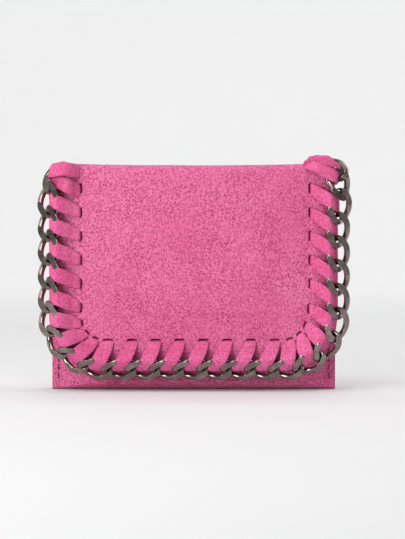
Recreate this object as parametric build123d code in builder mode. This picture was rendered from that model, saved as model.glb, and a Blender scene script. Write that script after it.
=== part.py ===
"""Small flap wallet with a chain laced round its flap.

Millimetres. X runs across the wallet, Y from the front to the back and Z up. The origin is
the middle of the base that the closed wallet stands on.
"""
from build123d import *
from math import cos, pi, radians, sin
import os

os.makedirs("parts", exist_ok=True)

# Pouch
pouch_width = 111.0
back_height = 86.2
mouth_height = 62.0
leather = 1.2
lining = 0.4
lining_top_gap = 0.6
front_y = -9.0
back_y = 5.4
seam_front_y = -2.7
seam_back_y = 2.6
seam_start_x = 51.5
hollow_half_width = 51.0
front_knee_x = 42.0
back_knee_x = 43.0
knee_radius = 9.0
seam_bend = 2.0
edge_bend = 0.6
panel_half_width = 50.6
panel_base_z = leather + lining + 0.2
half_width = pouch_width / 2

# Inner panels, each given by the y of its front face
divider_y = -0.6
divider_thickness = 0.6
divider_top = 84.0
coin_panel_y = 2.6
coin_half_width = 44.8
coin_thickness = 0.4
card_thickness = 0.5
card_half_width = 49.2
card_top = 68.0
card_step = 8.0
facing_half_width = 38.0
facing_thickness = 0.5
facing_top_gap = 0.5
facing_height = 6.0

# Zip of the coin compartment
zip_z = 76.0
window_half_length = 42.0
window_half_height = 2.5
tape_half_length = 46.0
tape_thickness = 0.4
tape_gap_half = 0.6
tape_width = 4.4
tooth_pitch = 1.6
tooth_width = 0.7
tooth_depth = 1.0
tooth_reach = 0.2
teeth_start_x = -39.2
teeth_end_x = 41.0
stop_length = 0.8
slider_rest_x = -37.4
slider_length = 7.0
slider_height = 5.5
slider_front_y = -1.6
slider_rear_y = 1.6
slider_plate = 0.7
slider_outline = ((-0.5, -0.34), (-0.36, -0.5), (0.5, -0.4), (0.5, 0.4), (-0.36, 0.5), (-0.5, 0.34))
post_size = 0.9
bridge_half_length = 1.9
bridge_height = 1.4
bridge_wall = 0.55
pull_axis_y = -2.25
pull_thickness = 0.9
pull_reach = 7.2
pull_width = 4.6
pull_pin_length = 3.8
pull_eye_width = 2.6
pull_eye_end = 2.9

# Magnetic snap
snap_z = 29.0
cup_radius = 7.0
cup_height = 1.6
cup_wall = 0.4
cup_hole_radius = 2.0
stud_radius = 1.5
stud_plate_radius = 6.2
stud_plate = 0.5
stud_length = 1.3
washer_radius = 4.8
washer_thickness = 0.4
metal_edge = 0.3

# Flap and spine
flap_half_width = 54.4
flap_bottom = 9.0
flap_top = 86.2
flap_inner_y = -11.4
flap_thickness = 2.0
flap_leather = 1.0
flap_stiffener_thickness = 0.4
flap_corner = 20.0
stiffener_inset = 12.0
stiffener_top_inset = 3.0
spine_front_y = -11.2
spine_rear_y = 4.2
spine_base_z = 86.8
spine_top_z = 88.6
spine_half_width = 54.0
flap_face_y = flap_inner_y - flap_thickness

# Chain
wire = 2.2
link_reach = 6.05
link_half_height = 3.6
link_shoulder = 4.0
link_nose = 0.42
link_twist = 50.0
link_bend = 1.4
link_flat = 2.3
link_pitch = 9.25
chain_side_x = 55.9
chain_bottom_z = 8.8
chain_corner = 21.5
chain_top_z = 83.6
path_links = 26
rolled = 30.0
upright = 5.0
rolled_rise = 2.35
upright_rise = 2.4

# The chain's two ends leave its route. Each link there: x, z, direction, roll and rise.
left_end_seats = (
    (-54.4, 83.5, 252.0, upright, 2.8),
    (-chain_side_x, 74.35, 270.0, 18.0, 2.5),
    (-chain_side_x, 65.1, 270.0, rolled, 2.4),
)
right_end_seats = (
    (56.2, 62.6, 446.0, upright, 2.4),
    (57.3, 71.7, 440.0, upright, 2.5),
    (56.8, 80.7, 466.0, upright, 2.7),
    (52.3, 88.3, 496.0, upright, 2.8),
)

# Lace
lace_width = 3.4
lace_thickness = 0.9
slot_inset = 10.2
slot_lead = 5.0
slot_length = lace_width + 0.8
slot_height = 1.3
lace_edge_gap = 0.45
lace_depth = 3.0
rolled_crest = 3.6
upright_crest = 2.5
crest_end_n = 5.4
lace_tail_v = -2.0
top_slot_z = 84.0

# Stitches
stitch_x = half_width - 2.4
stitch_pitch = 3.2
stitch_length = 2.4
stitch_width = 0.5
stitch_height = 0.25
stitch_margin = 6.0


def save(part, label):
    part.label = label
    export_step(part, f"parts/{label}.step")


def slab(half_length, front, rear, base, top):
    """A plain sheet standing in the pouch, centred on X."""
    with BuildPart() as sheet:
        with Locations((0, (front + rear) / 2, (base + top) / 2)):
            Box(2 * half_length, rear - front, top - base)
    return sheet.part


# Plan of the pouch: two flat seams at the sides and a full front and back between them
with BuildSketch() as pouch_plan:
    with BuildLine():
        FilletPolyline(
            (-half_width, seam_front_y),
            (-seam_start_x, seam_front_y),
            (-front_knee_x, front_y),
            (front_knee_x, front_y),
            (seam_start_x, seam_front_y),
            (half_width, seam_front_y),
            (half_width, seam_back_y),
            (seam_start_x, seam_back_y),
            (back_knee_x, back_y),
            (-back_knee_x, back_y),
            (-seam_start_x, seam_back_y),
            (-half_width, seam_back_y),
            radius=[edge_bend, seam_bend, knee_radius, knee_radius, seam_bend, edge_bend] * 2,
            close=True,
        )
    make_face()

with BuildSketch() as hollow_plan:
    add(pouch_plan.sketch)
    offset(amount=-leather, kind=Kind.INTERSECTION)
    Rectangle(2 * hollow_half_width, 40, mode=Mode.INTERSECT)

with BuildSketch() as lined_plan:
    add(hollow_plan.sketch)
    offset(amount=-lining, kind=Kind.INTERSECTION)

# Outer shell: front, base and back in one folded piece of leather
with BuildPart() as outer_shell:
    extrude(pouch_plan.sketch, amount=back_height)
    with BuildSketch(Plane.XY.offset(leather)):
        add(hollow_plan.sketch)
    extrude(amount=back_height, mode=Mode.SUBTRACT)
    with Locations((0, divider_y - 20, mouth_height + 20)):
        Box(2 * pouch_width, 40, 40, mode=Mode.SUBTRACT)
save(outer_shell.part, "outer_shell")

with BuildPart() as shell_lining:
    with BuildSketch(Plane.XY.offset(leather)):
        add(hollow_plan.sketch)
    extrude(amount=back_height - leather - lining_top_gap)
    with BuildSketch(Plane.XY.offset(leather + lining)):
        add(lined_plan.sketch)
    extrude(amount=back_height, mode=Mode.SUBTRACT)
    with Locations((0, divider_y - 20, mouth_height + 19.5)):
        Box(2 * pouch_width, 40, 40, mode=Mode.SUBTRACT)
save(shell_lining.part, "shell_lining")

# A turned strip stiffens the inside of the mouth
lined_front_y = front_y + leather + lining
facing_top = mouth_height - facing_top_gap
save(
    slab(
        facing_half_width,
        lined_front_y,
        lined_front_y + facing_thickness,
        facing_top - facing_height,
        facing_top,
    ),
    "front_mouth_facing",
)

# Divider with the zip window, the back of its coin pocket, and three stepped card pockets
divider_sheet = slab(panel_half_width, divider_y, divider_y + divider_thickness, panel_base_z, divider_top)
with BuildPart() as divider_panel:
    add(divider_sheet)
    with Locations((0, divider_y, zip_z)):
        Box(2 * window_half_length, 4, 2 * window_half_height, mode=Mode.SUBTRACT)
save(divider_panel.part, "divider_panel")

save(
    slab(coin_half_width, coin_panel_y, coin_panel_y + coin_thickness, panel_base_z, divider_top),
    "coin_pocket_back",
)

for number in range(3):
    rear = divider_y - number * card_thickness
    save(
        slab(card_half_width, rear - card_thickness, rear, panel_base_z, card_top - number * card_step),
        f"card_pocket_{number + 1}",
    )

# Zip tapes, teeth and stops
for side, label in ((1, "zip_tape_upper"), (-1, "zip_tape_lower")):
    edges = sorted((zip_z + side * tape_gap_half, zip_z + side * (tape_gap_half + tape_width)))
    save(slab(tape_half_length, 0, tape_thickness, *edges), label)

teeth_middle_x = (teeth_start_x + teeth_end_x) / 2
teeth_length = teeth_end_x - teeth_start_x
tooth_count = int(teeth_length / tooth_pitch)
for side, label in ((1, "zip_teeth_upper"), (-1, "zip_teeth_lower")):
    bar_height = tape_gap_half - tooth_reach - 0.05
    tooth_height = 2 * tooth_reach
    with BuildPart() as zip_teeth:
        with Locations((teeth_middle_x, 0, zip_z + side * (tape_gap_half - bar_height / 2))):
            Box(teeth_length, tooth_depth, bar_height)
        row_x = teeth_middle_x + side * tooth_pitch / 4
        row_z = zip_z + side * 0.05
        with Locations((row_x, 0, row_z)):
            with GridLocations(tooth_pitch, 1, tooth_count, 1):
                Box(tooth_width, tooth_depth, tooth_height)
    save(zip_teeth.part, label)

with BuildPart() as zip_end_stops:
    for stop_x in (-window_half_length + stop_length / 2, window_half_length - stop_length / 2):
        with Locations((stop_x, 0.1, zip_z)):
            Box(stop_length, 1.4, 2 * tape_gap_half)
save(zip_end_stops.part, "zip_end_stops")

# Slider: two plates joined by a post at the closing end, with a bridge for the pull
bridge_front_y = pull_axis_y - pull_thickness / 2 - 0.8
bridge_eye_depth = slider_front_y - bridge_front_y - bridge_wall
post_x = slider_rest_x - slider_length / 2 + 0.6
post_length = slider_rear_y - slider_front_y - 2 * slider_plate + 0.4
with BuildPart() as zip_slider:
    for plate_y in (slider_front_y, slider_rear_y - slider_plate):
        with BuildSketch(Plane(origin=(slider_rest_x, plate_y, zip_z), z_dir=(0, -1, 0), x_dir=(1, 0, 0))):
            with BuildLine():
                FilletPolyline(
                    *[(x * slider_length, z * slider_height) for x, z in slider_outline],
                    radius=0.5,
                    close=True,
                )
            make_face()
        extrude(amount=-slider_plate)
    with Locations((post_x, 0, zip_z)):
        Box(post_size, post_length, post_size)
    with BuildSketch(Plane(origin=(slider_rest_x, 0, zip_z - bridge_height / 2), z_dir=(0, 0, 1))):
        with BuildLine():
            FilletPolyline(
                (-bridge_half_length, slider_front_y + 0.1),
                (-bridge_half_length, bridge_front_y),
                (bridge_half_length, bridge_front_y),
                (bridge_half_length, slider_front_y + 0.1),
                radius=[0.01, 0.9, 0.9, 0.01],
                close=True,
            )
        make_face()
        with Locations((0, slider_front_y - bridge_eye_depth / 2)):
            Rectangle(2 * bridge_half_length - 1.4, bridge_eye_depth, mode=Mode.SUBTRACT)
    extrude(amount=bridge_height)
save(zip_slider.part, "zip_slider")

# Pull: a pin across the bridge, two arms and a rounded tab that lies back over the teeth
pull_front = (slider_rest_x, pull_axis_y - pull_thickness / 2, zip_z)
pull_plane = Plane(origin=pull_front, x_dir=(1, 0, 0), z_dir=(0, 1, 0))
with BuildPart() as zip_pull:
    with Locations((slider_rest_x, pull_axis_y, zip_z)):
        Cylinder(pull_thickness / 2, pull_pin_length)
    with BuildSketch(pull_plane):
        with Locations((pull_reach / 2, 0)):
            RectangleRounded(pull_reach, pull_width, 0.9)
        with Locations((pull_eye_end / 2 - 0.25, 0)):
            Rectangle(pull_eye_end + 0.5, pull_eye_width, mode=Mode.SUBTRACT)
    extrude(amount=pull_thickness)
save(zip_pull.part, "zip_pull")

# Magnetic snap: cup, ring magnet and washer on the pouch, stud and washer on the flap
front_plane = Plane(origin=(0, front_y, snap_z), x_dir=(1, 0, 0), z_dir=(0, -1, 0))
with BuildPart() as snap_socket_cup:
    with BuildSketch(front_plane):
        Circle(cup_radius)
    extrude(amount=cup_height)
    with BuildSketch(front_plane):
        Circle(cup_radius - cup_wall)
    extrude(amount=cup_height - cup_wall, mode=Mode.SUBTRACT)
    with BuildSketch(front_plane):
        Circle(cup_hole_radius)
    extrude(amount=cup_height, mode=Mode.SUBTRACT)
    rim = snap_socket_cup.faces().sort_by(Axis.Y)[0].edges().sort_by(SortBy.LENGTH)[-1]
    fillet(rim, radius=metal_edge)
save(snap_socket_cup.part, "snap_socket_cup")

with BuildPart() as snap_magnet:
    with BuildSketch(front_plane.offset(0.05)):
        Circle(cup_radius - cup_wall - 0.2)
        Circle(cup_hole_radius + 0.1, mode=Mode.SUBTRACT)
    extrude(amount=cup_height - cup_wall - 0.1)
save(snap_magnet.part, "snap_magnet")

with BuildPart() as snap_socket_washer:
    with BuildSketch(Plane(origin=(0, lined_front_y, snap_z), x_dir=(1, 0, 0), z_dir=(0, 1, 0))):
        Circle(washer_radius)
    extrude(amount=washer_thickness)
save(snap_socket_washer.part, "snap_socket_washer")

inner_plane = Plane(origin=(0, flap_inner_y, snap_z), x_dir=(1, 0, 0), z_dir=(0, 1, 0))
with BuildPart() as snap_stud:
    with BuildSketch(inner_plane):
        Circle(stud_plate_radius)
    extrude(amount=stud_plate)
    with BuildSketch(inner_plane):
        Circle(stud_radius)
    extrude(amount=stud_plate + stud_length)
    fillet(snap_stud.faces().sort_by(Axis.Y)[-1].edges(), radius=metal_edge)
save(snap_stud.part, "snap_stud")


# Stitches down both side seams, on the front and on the back
def stitches(side):
    rows = (
        (seam_front_y - stitch_height / 2, mouth_height),
        (seam_back_y + stitch_height / 2, back_height),
    )
    with BuildPart() as seam:
        for stitch_y, seam_top in rows:
            count = int((seam_top - stitch_margin) / stitch_pitch)
            for number in range(count):
                stitch_z = seam_top / 2 + (number - (count - 1) / 2) * stitch_pitch
                with Locations((side * stitch_x, stitch_y, stitch_z)):
                    Box(stitch_width, stitch_height, stitch_length)
    return seam.part


save(stitches(-1), "seam_stitching_left")
save(stitches(1), "seam_stitching_right")

# Chain route: down the left side of the flap, along its lower edge and up the right side.
# Each seat is a place, a direction of travel, a roll that tips the outer strand back, and
# the height of the chain's axis above the flap's face.
corner_centre_x = chain_side_x - chain_corner
corner_centre_z = chain_bottom_z + chain_corner
side_run = chain_top_z - corner_centre_z
corner_run = chain_corner * pi / 2
bottom_run = 2 * corner_centre_x


def chain_route(run):
    """Place, in X and Z, and direction in degrees, a given length down the chain's axis."""
    if run < side_run:
        return -chain_side_x, chain_top_z - run, 270.0
    run -= side_run
    if run < corner_run:
        angle = 90 * run / corner_run
        x = -corner_centre_x - chain_corner * cos(radians(angle))
        return x, corner_centre_z - chain_corner * sin(radians(angle)), 270.0 + angle
    run -= corner_run
    if run < bottom_run:
        return -corner_centre_x + run, chain_bottom_z, 360.0
    run -= bottom_run
    if run < corner_run:
        angle = 90 * run / corner_run
        x = corner_centre_x + chain_corner * sin(radians(angle))
        return x, corner_centre_z - chain_corner * cos(radians(angle)), 360.0 + angle
    run -= corner_run
    return chain_side_x, corner_centre_z + run, 450.0


seats = []
for index in range(path_links):
    x, z, heading = chain_route(index * link_pitch)
    turned = min(1.0, max(0.0, (heading - 360.0) / 90.0))
    roll = rolled + turned * (upright - rolled)
    rise = rolled_rise + turned * (upright_rise - rolled_rise)
    seats.append((x, z, heading, roll, rise))
seats[:3] = left_end_seats
seats[-2:] = right_end_seats


def frame_at(x, z, heading, roll, rise):
    """Plane of a link: X along the chain, Y towards the flap's middle, Z away from its face."""
    travel = Vector(cos(radians(heading)), 0, sin(radians(heading)))
    outward = Vector(0, -1, 0)
    inward = outward.cross(travel)
    tipped = outward * cos(radians(roll)) - inward * sin(radians(roll))
    return Plane(origin=(x, flap_face_y - rise, z), x_dir=travel, z_dir=tipped)


def twisted(x, side, share=1.0):
    """A point of the link's centreline, turned about the chain's axis by its place along it."""
    turn = radians(-link_twist) * x / link_reach
    height = side * share * link_half_height
    return (x, height * cos(turn), height * sin(turn))


# Link: a round wire bent into a twisted loop, with its front and back ground flat
with BuildLine() as link_line:
    FilletPolyline(
        twisted(link_shoulder, 1),
        twisted(link_reach, 1, link_nose),
        twisted(link_reach, -1, link_nose),
        twisted(link_shoulder, -1),
        twisted(-link_shoulder, -1),
        twisted(-link_reach, -1, link_nose),
        twisted(-link_reach, 1, link_nose),
        twisted(-link_shoulder, 1),
        radius=link_bend,
        close=True,
    )

with BuildPart() as link:
    for edge in link_line.wire().edges():
        with BuildSketch(Plane(origin=edge @ 0, z_dir=edge % 0)):
            Circle(wire / 2)
        sweep(path=edge)
    with Locations((0, 0, link_flat + 2), (0, 0, -link_flat - 2)):
        Box(20, 20, 4, mode=Mode.SUBTRACT)

for number, seat in enumerate(seats, start=1):
    with BuildPart() as chain_link:
        with Locations(frame_at(*seat)):
            add(link.part)
    save(chain_link.part, f"chain_link_{number:02d}")


def on_flap(x, z, inset):
    """The point at a given inset from the flap's outline that lies nearest to (x, z)."""
    centre_x = max(-flap_half_width + flap_corner, min(flap_half_width - flap_corner, x))
    centre_z = max(flap_bottom + flap_corner, z)
    away = Vector(x - centre_x, 0, z - centre_z).normalized()
    return Vector(centre_x, 0, centre_z) + away * (flap_corner - inset), -away


# Lace: one wrap through each link, from the slot ahead of it to the slot behind it. A wrap
# stands in the link's hole just outside the rim, and its crest clears the inner strand.
wraps = []
for index, (x, z, heading, roll, rise) in enumerate(seats[:-2]):
    rim, inward = on_flap(x, z, 0)
    travel = inward.cross(Vector(0, -1, 0))
    outside = (rim - Vector(x, 0, z)).dot(inward)
    gap = max(lace_edge_gap, outside - lace_thickness)
    hole = rim - inward * (gap + lace_thickness / 2)
    ahead_x, ahead_z, _ = chain_route(index * link_pitch + slot_lead)
    slot, _ = on_flap(ahead_x, min(ahead_z, top_slot_z), slot_inset)
    upright_share = (rolled - roll) / (rolled - upright)
    crest = rise + rolled_crest + upright_share * (upright_crest - rolled_crest)
    wraps.append((hole, inward, travel, slot, crest))


def lace_strip(hole, inward, travel, target, outline):
    """A strip of lace whose side view runs from the hole towards the target on the flap."""
    run = inward + travel * ((target - hole).dot(travel) / (target - hole).dot(inward))
    origin = hole + Vector(0, flap_face_y, 0) - travel * (lace_width / 2)
    with BuildPart() as strip:
        with BuildSketch(Plane(origin=origin, x_dir=run, z_dir=run.cross(Vector(0, -1, 0)))):
            with BuildLine():
                Polyline(*[(n * run.length, v) for n, v in outline], close=True)
            make_face()
        extrude(amount=lace_width, dir=travel)
    return strip.part


half_lace = lace_thickness / 2
lace_strips = []
for index, (hole, inward, travel, slot, crest) in enumerate(wraps):
    reach = (slot - hole).dot(inward)
    over_outline = (
        (reach - half_lace, lace_tail_v),
        (reach + half_lace, lace_tail_v),
        (reach + half_lace, 0.6),
        (crest_end_n, crest + lace_thickness),
        (-half_lace, crest + lace_thickness),
        (-half_lace, -lace_depth),
        (half_lace, -lace_depth),
        (half_lace, crest),
        (crest_end_n - 0.3, crest),
        (reach - half_lace, 0.05),
    )
    lace_strips.append(lace_strip(hole, inward, travel, slot, over_outline))
    if index > 0:
        behind = wraps[index - 1][3]
        reach = (behind - hole).dot(inward)
        inner_v = -lace_depth + lace_thickness - 0.05
        under_outline = (
            (-half_lace, -lace_depth),
            (reach, -lace_depth),
            (reach, inner_v),
            (-half_lace, inner_v),
        )
        lace_strips.append(lace_strip(hole, inward, travel, behind, under_outline))

with BuildPart() as edge_lace:
    for strip in lace_strips:
        add(strip)
save(edge_lace.part, "edge_lace")

# Flap: leather, a stiffener sealed inside it, and a lining that fills the border round it
flap_plane = Plane(origin=(0, flap_inner_y, 0), x_dir=(1, 0, 0), z_dir=(0, -1, 0))
flap_middle_z = (flap_bottom + flap_top) / 2
with BuildSketch(flap_plane) as flap_plan:
    with Locations((0, flap_middle_z)):
        Rectangle(2 * flap_half_width, flap_top - flap_bottom)
    fillet(flap_plan.vertices().group_by(Axis.Y)[0], radius=flap_corner)

stiffener_bottom = flap_bottom + stiffener_inset
stiffener_top = flap_top - stiffener_top_inset
with BuildSketch(flap_plane) as stiffener_plan:
    with Locations((0, (stiffener_bottom + stiffener_top) / 2)):
        Rectangle(2 * (flap_half_width - stiffener_inset), stiffener_top - stiffener_bottom)
    fillet(stiffener_plan.vertices().group_by(Axis.Y)[0], radius=flap_corner - stiffener_inset)

with BuildPart() as lace_slots:
    for hole, inward, travel, slot, crest in wraps:
        centre = slot + Vector(0, flap_inner_y - flap_thickness / 2, 0)
        with Locations(Plane(origin=centre, x_dir=travel, z_dir=(0, -1, 0))):
            Box(slot_length, slot_height, flap_thickness + 1)

lining_thickness = flap_thickness - flap_leather
with BuildPart() as flap_outer:
    extrude(flap_plan.sketch, amount=flap_thickness)
    extrude(flap_plan.sketch, amount=lining_thickness, mode=Mode.SUBTRACT)
    add(lace_slots.part, mode=Mode.SUBTRACT)
save(flap_outer.part, "flap_outer")

with BuildPart() as flap_lining:
    extrude(flap_plan.sketch, amount=lining_thickness)
    add(lace_slots.part, mode=Mode.SUBTRACT)
    with BuildSketch(flap_plane.offset(lining_thickness - flap_stiffener_thickness)):
        add(stiffener_plan.sketch)
    extrude(amount=flap_stiffener_thickness, mode=Mode.SUBTRACT)
save(flap_lining.part, "flap_lining")

washer_plane = flap_plane.offset(lining_thickness - flap_stiffener_thickness)
with BuildPart() as flap_stiffener:
    with BuildSketch(washer_plane):
        add(stiffener_plan.sketch)
        with Locations((0, snap_z)):
            Circle(washer_radius + 0.2, mode=Mode.SUBTRACT)
    extrude(amount=flap_stiffener_thickness)
save(flap_stiffener.part, "flap_stiffener")

with BuildPart() as snap_stud_washer:
    with BuildSketch(washer_plane):
        with Locations((0, snap_z)):
            Circle(washer_radius)
    extrude(amount=flap_stiffener_thickness)
save(snap_stud_washer.part, "snap_stud_washer")

# Spine: the strip of leather, lined, that the flap and the back hinge from
spine_seam_z = spine_top_z - flap_leather
save(slab(spine_half_width, spine_front_y, spine_rear_y, spine_seam_z, spine_top_z), "spine_outer")
save(slab(spine_half_width, spine_front_y, spine_rear_y, spine_base_z, spine_seam_z), "spine_lining")
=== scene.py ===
"""Looks of the chain-trimmed flap wallet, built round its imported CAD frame.

Shapes are worked out in millimetres and written to Blender in metres.
"""

from math import atan2, cos, degrees, pi, radians, sin, sqrt

import bmesh
import bpy
import numpy as np
from mathutils import Matrix, Vector, noise


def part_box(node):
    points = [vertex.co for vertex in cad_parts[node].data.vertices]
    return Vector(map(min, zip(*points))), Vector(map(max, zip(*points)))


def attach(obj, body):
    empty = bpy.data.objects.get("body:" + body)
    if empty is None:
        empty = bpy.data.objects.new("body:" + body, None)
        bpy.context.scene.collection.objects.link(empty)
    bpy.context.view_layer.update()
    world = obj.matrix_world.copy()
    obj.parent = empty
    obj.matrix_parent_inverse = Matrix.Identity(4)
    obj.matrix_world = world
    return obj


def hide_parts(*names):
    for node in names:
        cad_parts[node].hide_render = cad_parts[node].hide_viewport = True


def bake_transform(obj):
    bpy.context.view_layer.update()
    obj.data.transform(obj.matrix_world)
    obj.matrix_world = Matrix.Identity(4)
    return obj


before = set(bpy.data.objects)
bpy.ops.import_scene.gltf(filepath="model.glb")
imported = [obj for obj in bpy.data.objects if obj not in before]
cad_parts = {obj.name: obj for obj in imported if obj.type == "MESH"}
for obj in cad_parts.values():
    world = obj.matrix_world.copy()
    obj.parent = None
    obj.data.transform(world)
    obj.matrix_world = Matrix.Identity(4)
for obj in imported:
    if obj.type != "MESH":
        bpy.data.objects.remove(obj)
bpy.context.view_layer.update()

MM = 0.001

# ---------------------------------------------------------------- sizes read from the frame


def box_mm(node):
    """Lowest and highest corner of a CAD node, in millimetres."""
    low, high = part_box(node)
    return low / MM, high / MM


pouch_low, pouch_high = box_mm("outer_shell")
flap_low, flap_high = box_mm("flap_outer")
spine_low, spine_high = box_mm("spine_outer")
divider_low, divider_high = box_mm("divider_panel")

half_width = pouch_high.x
flap_half = flap_high.x
flap_bottom = flap_low.z
flap_face = flap_low.y
flap_back = box_mm("flap_lining")[1].y
top_z = spine_high.z
fold_y = (spine_low.y + spine_high.y) / 2

flap_corner = 20.0
leather = 1.2
slot_inset = 10.2

# ---------------------------------------------------------------- chain route, as in the CAD

chain_side_x = 55.9
chain_bottom_z = 8.8
chain_corner = 21.5
chain_top_z = 83.6
link_pitch = 9.25
path_links = 26
rolled, upright = 30.0, 5.0
rolled_rise, upright_rise = 2.35, 2.4
corner_x = chain_side_x - chain_corner
corner_z = chain_bottom_z + chain_corner
side_run = chain_top_z - corner_z
corner_run = chain_corner * pi / 2
bottom_run = 2 * corner_x


def chain_route(run):
    """Place, in X and Z, and heading in degrees, a given length down the chain's axis."""
    if run < side_run:
        return -chain_side_x, chain_top_z - run, 270.0
    run -= side_run
    if run < corner_run:
        angle = radians(90 * run / corner_run)
        x = -corner_x - chain_corner * cos(angle)
        return x, corner_z - chain_corner * sin(angle), 270 + degrees(angle)
    run -= corner_run
    if run < bottom_run:
        return -corner_x + run, chain_bottom_z, 360.0
    run -= bottom_run
    if run < corner_run:
        angle = radians(90 * run / corner_run)
        x = corner_x + chain_corner * sin(angle)
        return x, corner_z - chain_corner * cos(angle), 360 + degrees(angle)
    run -= corner_run
    return chain_side_x, corner_z + run, 450.0


# Each link's seat: x, z, heading, roll, and height above the flap's face
seats = []
for index in range(path_links):
    x, z, heading = chain_route(index * link_pitch)
    turned = min(1.0, max(0.0, (heading - 360.0) / 90.0))
    roll = rolled + turned * (upright - rolled)
    seats.append((x, z, heading, roll, rolled_rise + turned * (upright_rise - rolled_rise)))
# Links near the top corners have seats of their own, where the lace is tied off
seats[0] = (-52.9, 82.6, 238.0, upright, 2.8)
seats[1] = (-chain_side_x, 74.35, 270.0, 26.0, 2.5)
seats[2] = (-chain_side_x, 65.1, 270.0, rolled, 2.4)
seats[24] = (chain_side_x, 62.6, 446.0, upright, 2.4)
seats[25] = (56.5, 71.7, 442.0, upright, 2.5)
seats.append((56.2, 80.7, 468.0, 20.0, 3.0))
seats.append((53.0, 86.6, 514.0, -38.0, 2.7))

# ---------------------------------------------------------------- mesh helpers


def new_object(name, points, faces, material):
    """A smooth-shaded mesh object from points in millimetres."""
    mesh = bpy.data.meshes.new(name)
    mesh.from_pydata([tuple(c * MM for c in p) for p in points], [], faces)
    mesh.materials.append(material)
    mesh.update()
    mesh.shade_smooth()
    obj = bpy.data.objects.new(name, mesh)
    bpy.context.scene.collection.objects.link(obj)
    return obj


def grid_faces(rows, columns):
    """Faces of a sheet whose points run row by row."""
    faces = []
    for i in range(rows - 1):
        for j in range(columns - 1):
            a = i * columns + j
            faces.append((a, a + columns, a + columns + 1, a + 1))
    return faces


def apply_modifiers(obj):
    """Make the modifiers' result the object's own mesh."""
    graph = bpy.context.evaluated_depsgraph_get()
    graph.update()
    mesh = bpy.data.meshes.new_from_object(obj.evaluated_get(graph))
    obj.modifiers.clear()
    obj.data = mesh


def thicken(obj, thickness, rounding=0.0, offset=-1):
    """Give a sheet its thickness, behind its outer face by default, with rounded edges."""
    solid = obj.modifiers.new("thickness", "SOLIDIFY")
    solid.thickness = thickness * MM
    solid.offset = offset
    solid.use_even_offset = False
    solid.use_rim = True
    if rounding:
        bevel = obj.modifiers.new("edges", "BEVEL")
        bevel.width = rounding * MM
        bevel.segments = 3
        bevel.limit_method = "ANGLE"
        bevel.angle_limit = radians(55)
    apply_modifiers(obj)
    obj.data.shade_smooth()
    return obj


def cut(obj, cutter):
    """Cut one object out of another and remove the cutter."""
    boolean = obj.modifiers.new("cut", "BOOLEAN")
    boolean.operation = "DIFFERENCE"
    boolean.object = cutter
    boolean.solver = "EXACT"
    apply_modifiers(obj)
    bpy.data.objects.remove(cutter)


def smoothstep(value, low, high):
    """A smooth rise from 0 at low to 1 at high."""
    share = min(1.0, max(0.0, (value - low) / (high - low)))
    return share * share * (3 - 2 * share)


def spline(points, count):
    """Catmull-Rom curve through points, resampled to an even spacing."""
    knots = np.array(points, float)
    ends = np.vstack([2 * knots[0] - knots[1], knots, 2 * knots[-1] - knots[-2]])
    dense = []
    for k in range(len(knots) - 1):
        p0, p1, p2, p3 = ends[k:k + 4]
        for step in range(16):
            t = step / 16
            square = (2 * p0 - 5 * p1 + 4 * p2 - p3) * t**2
            cube = (3 * p1 - p0 - 3 * p2 + p3) * t**3
            dense.append(0.5 * (2 * p1 + (p2 - p0) * t + square + cube))
    dense.append(knots[-1])
    dense = np.array(dense)
    length = np.concatenate([[0], np.cumsum(np.linalg.norm(np.diff(dense[:, :3], axis=0), axis=1))])
    at = np.linspace(0, length[-1], count)
    return np.stack([np.interp(at, length, dense[:, c]) for c in range(dense.shape[1])], 1)


# ---------------------------------------------------------------- materials


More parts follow.
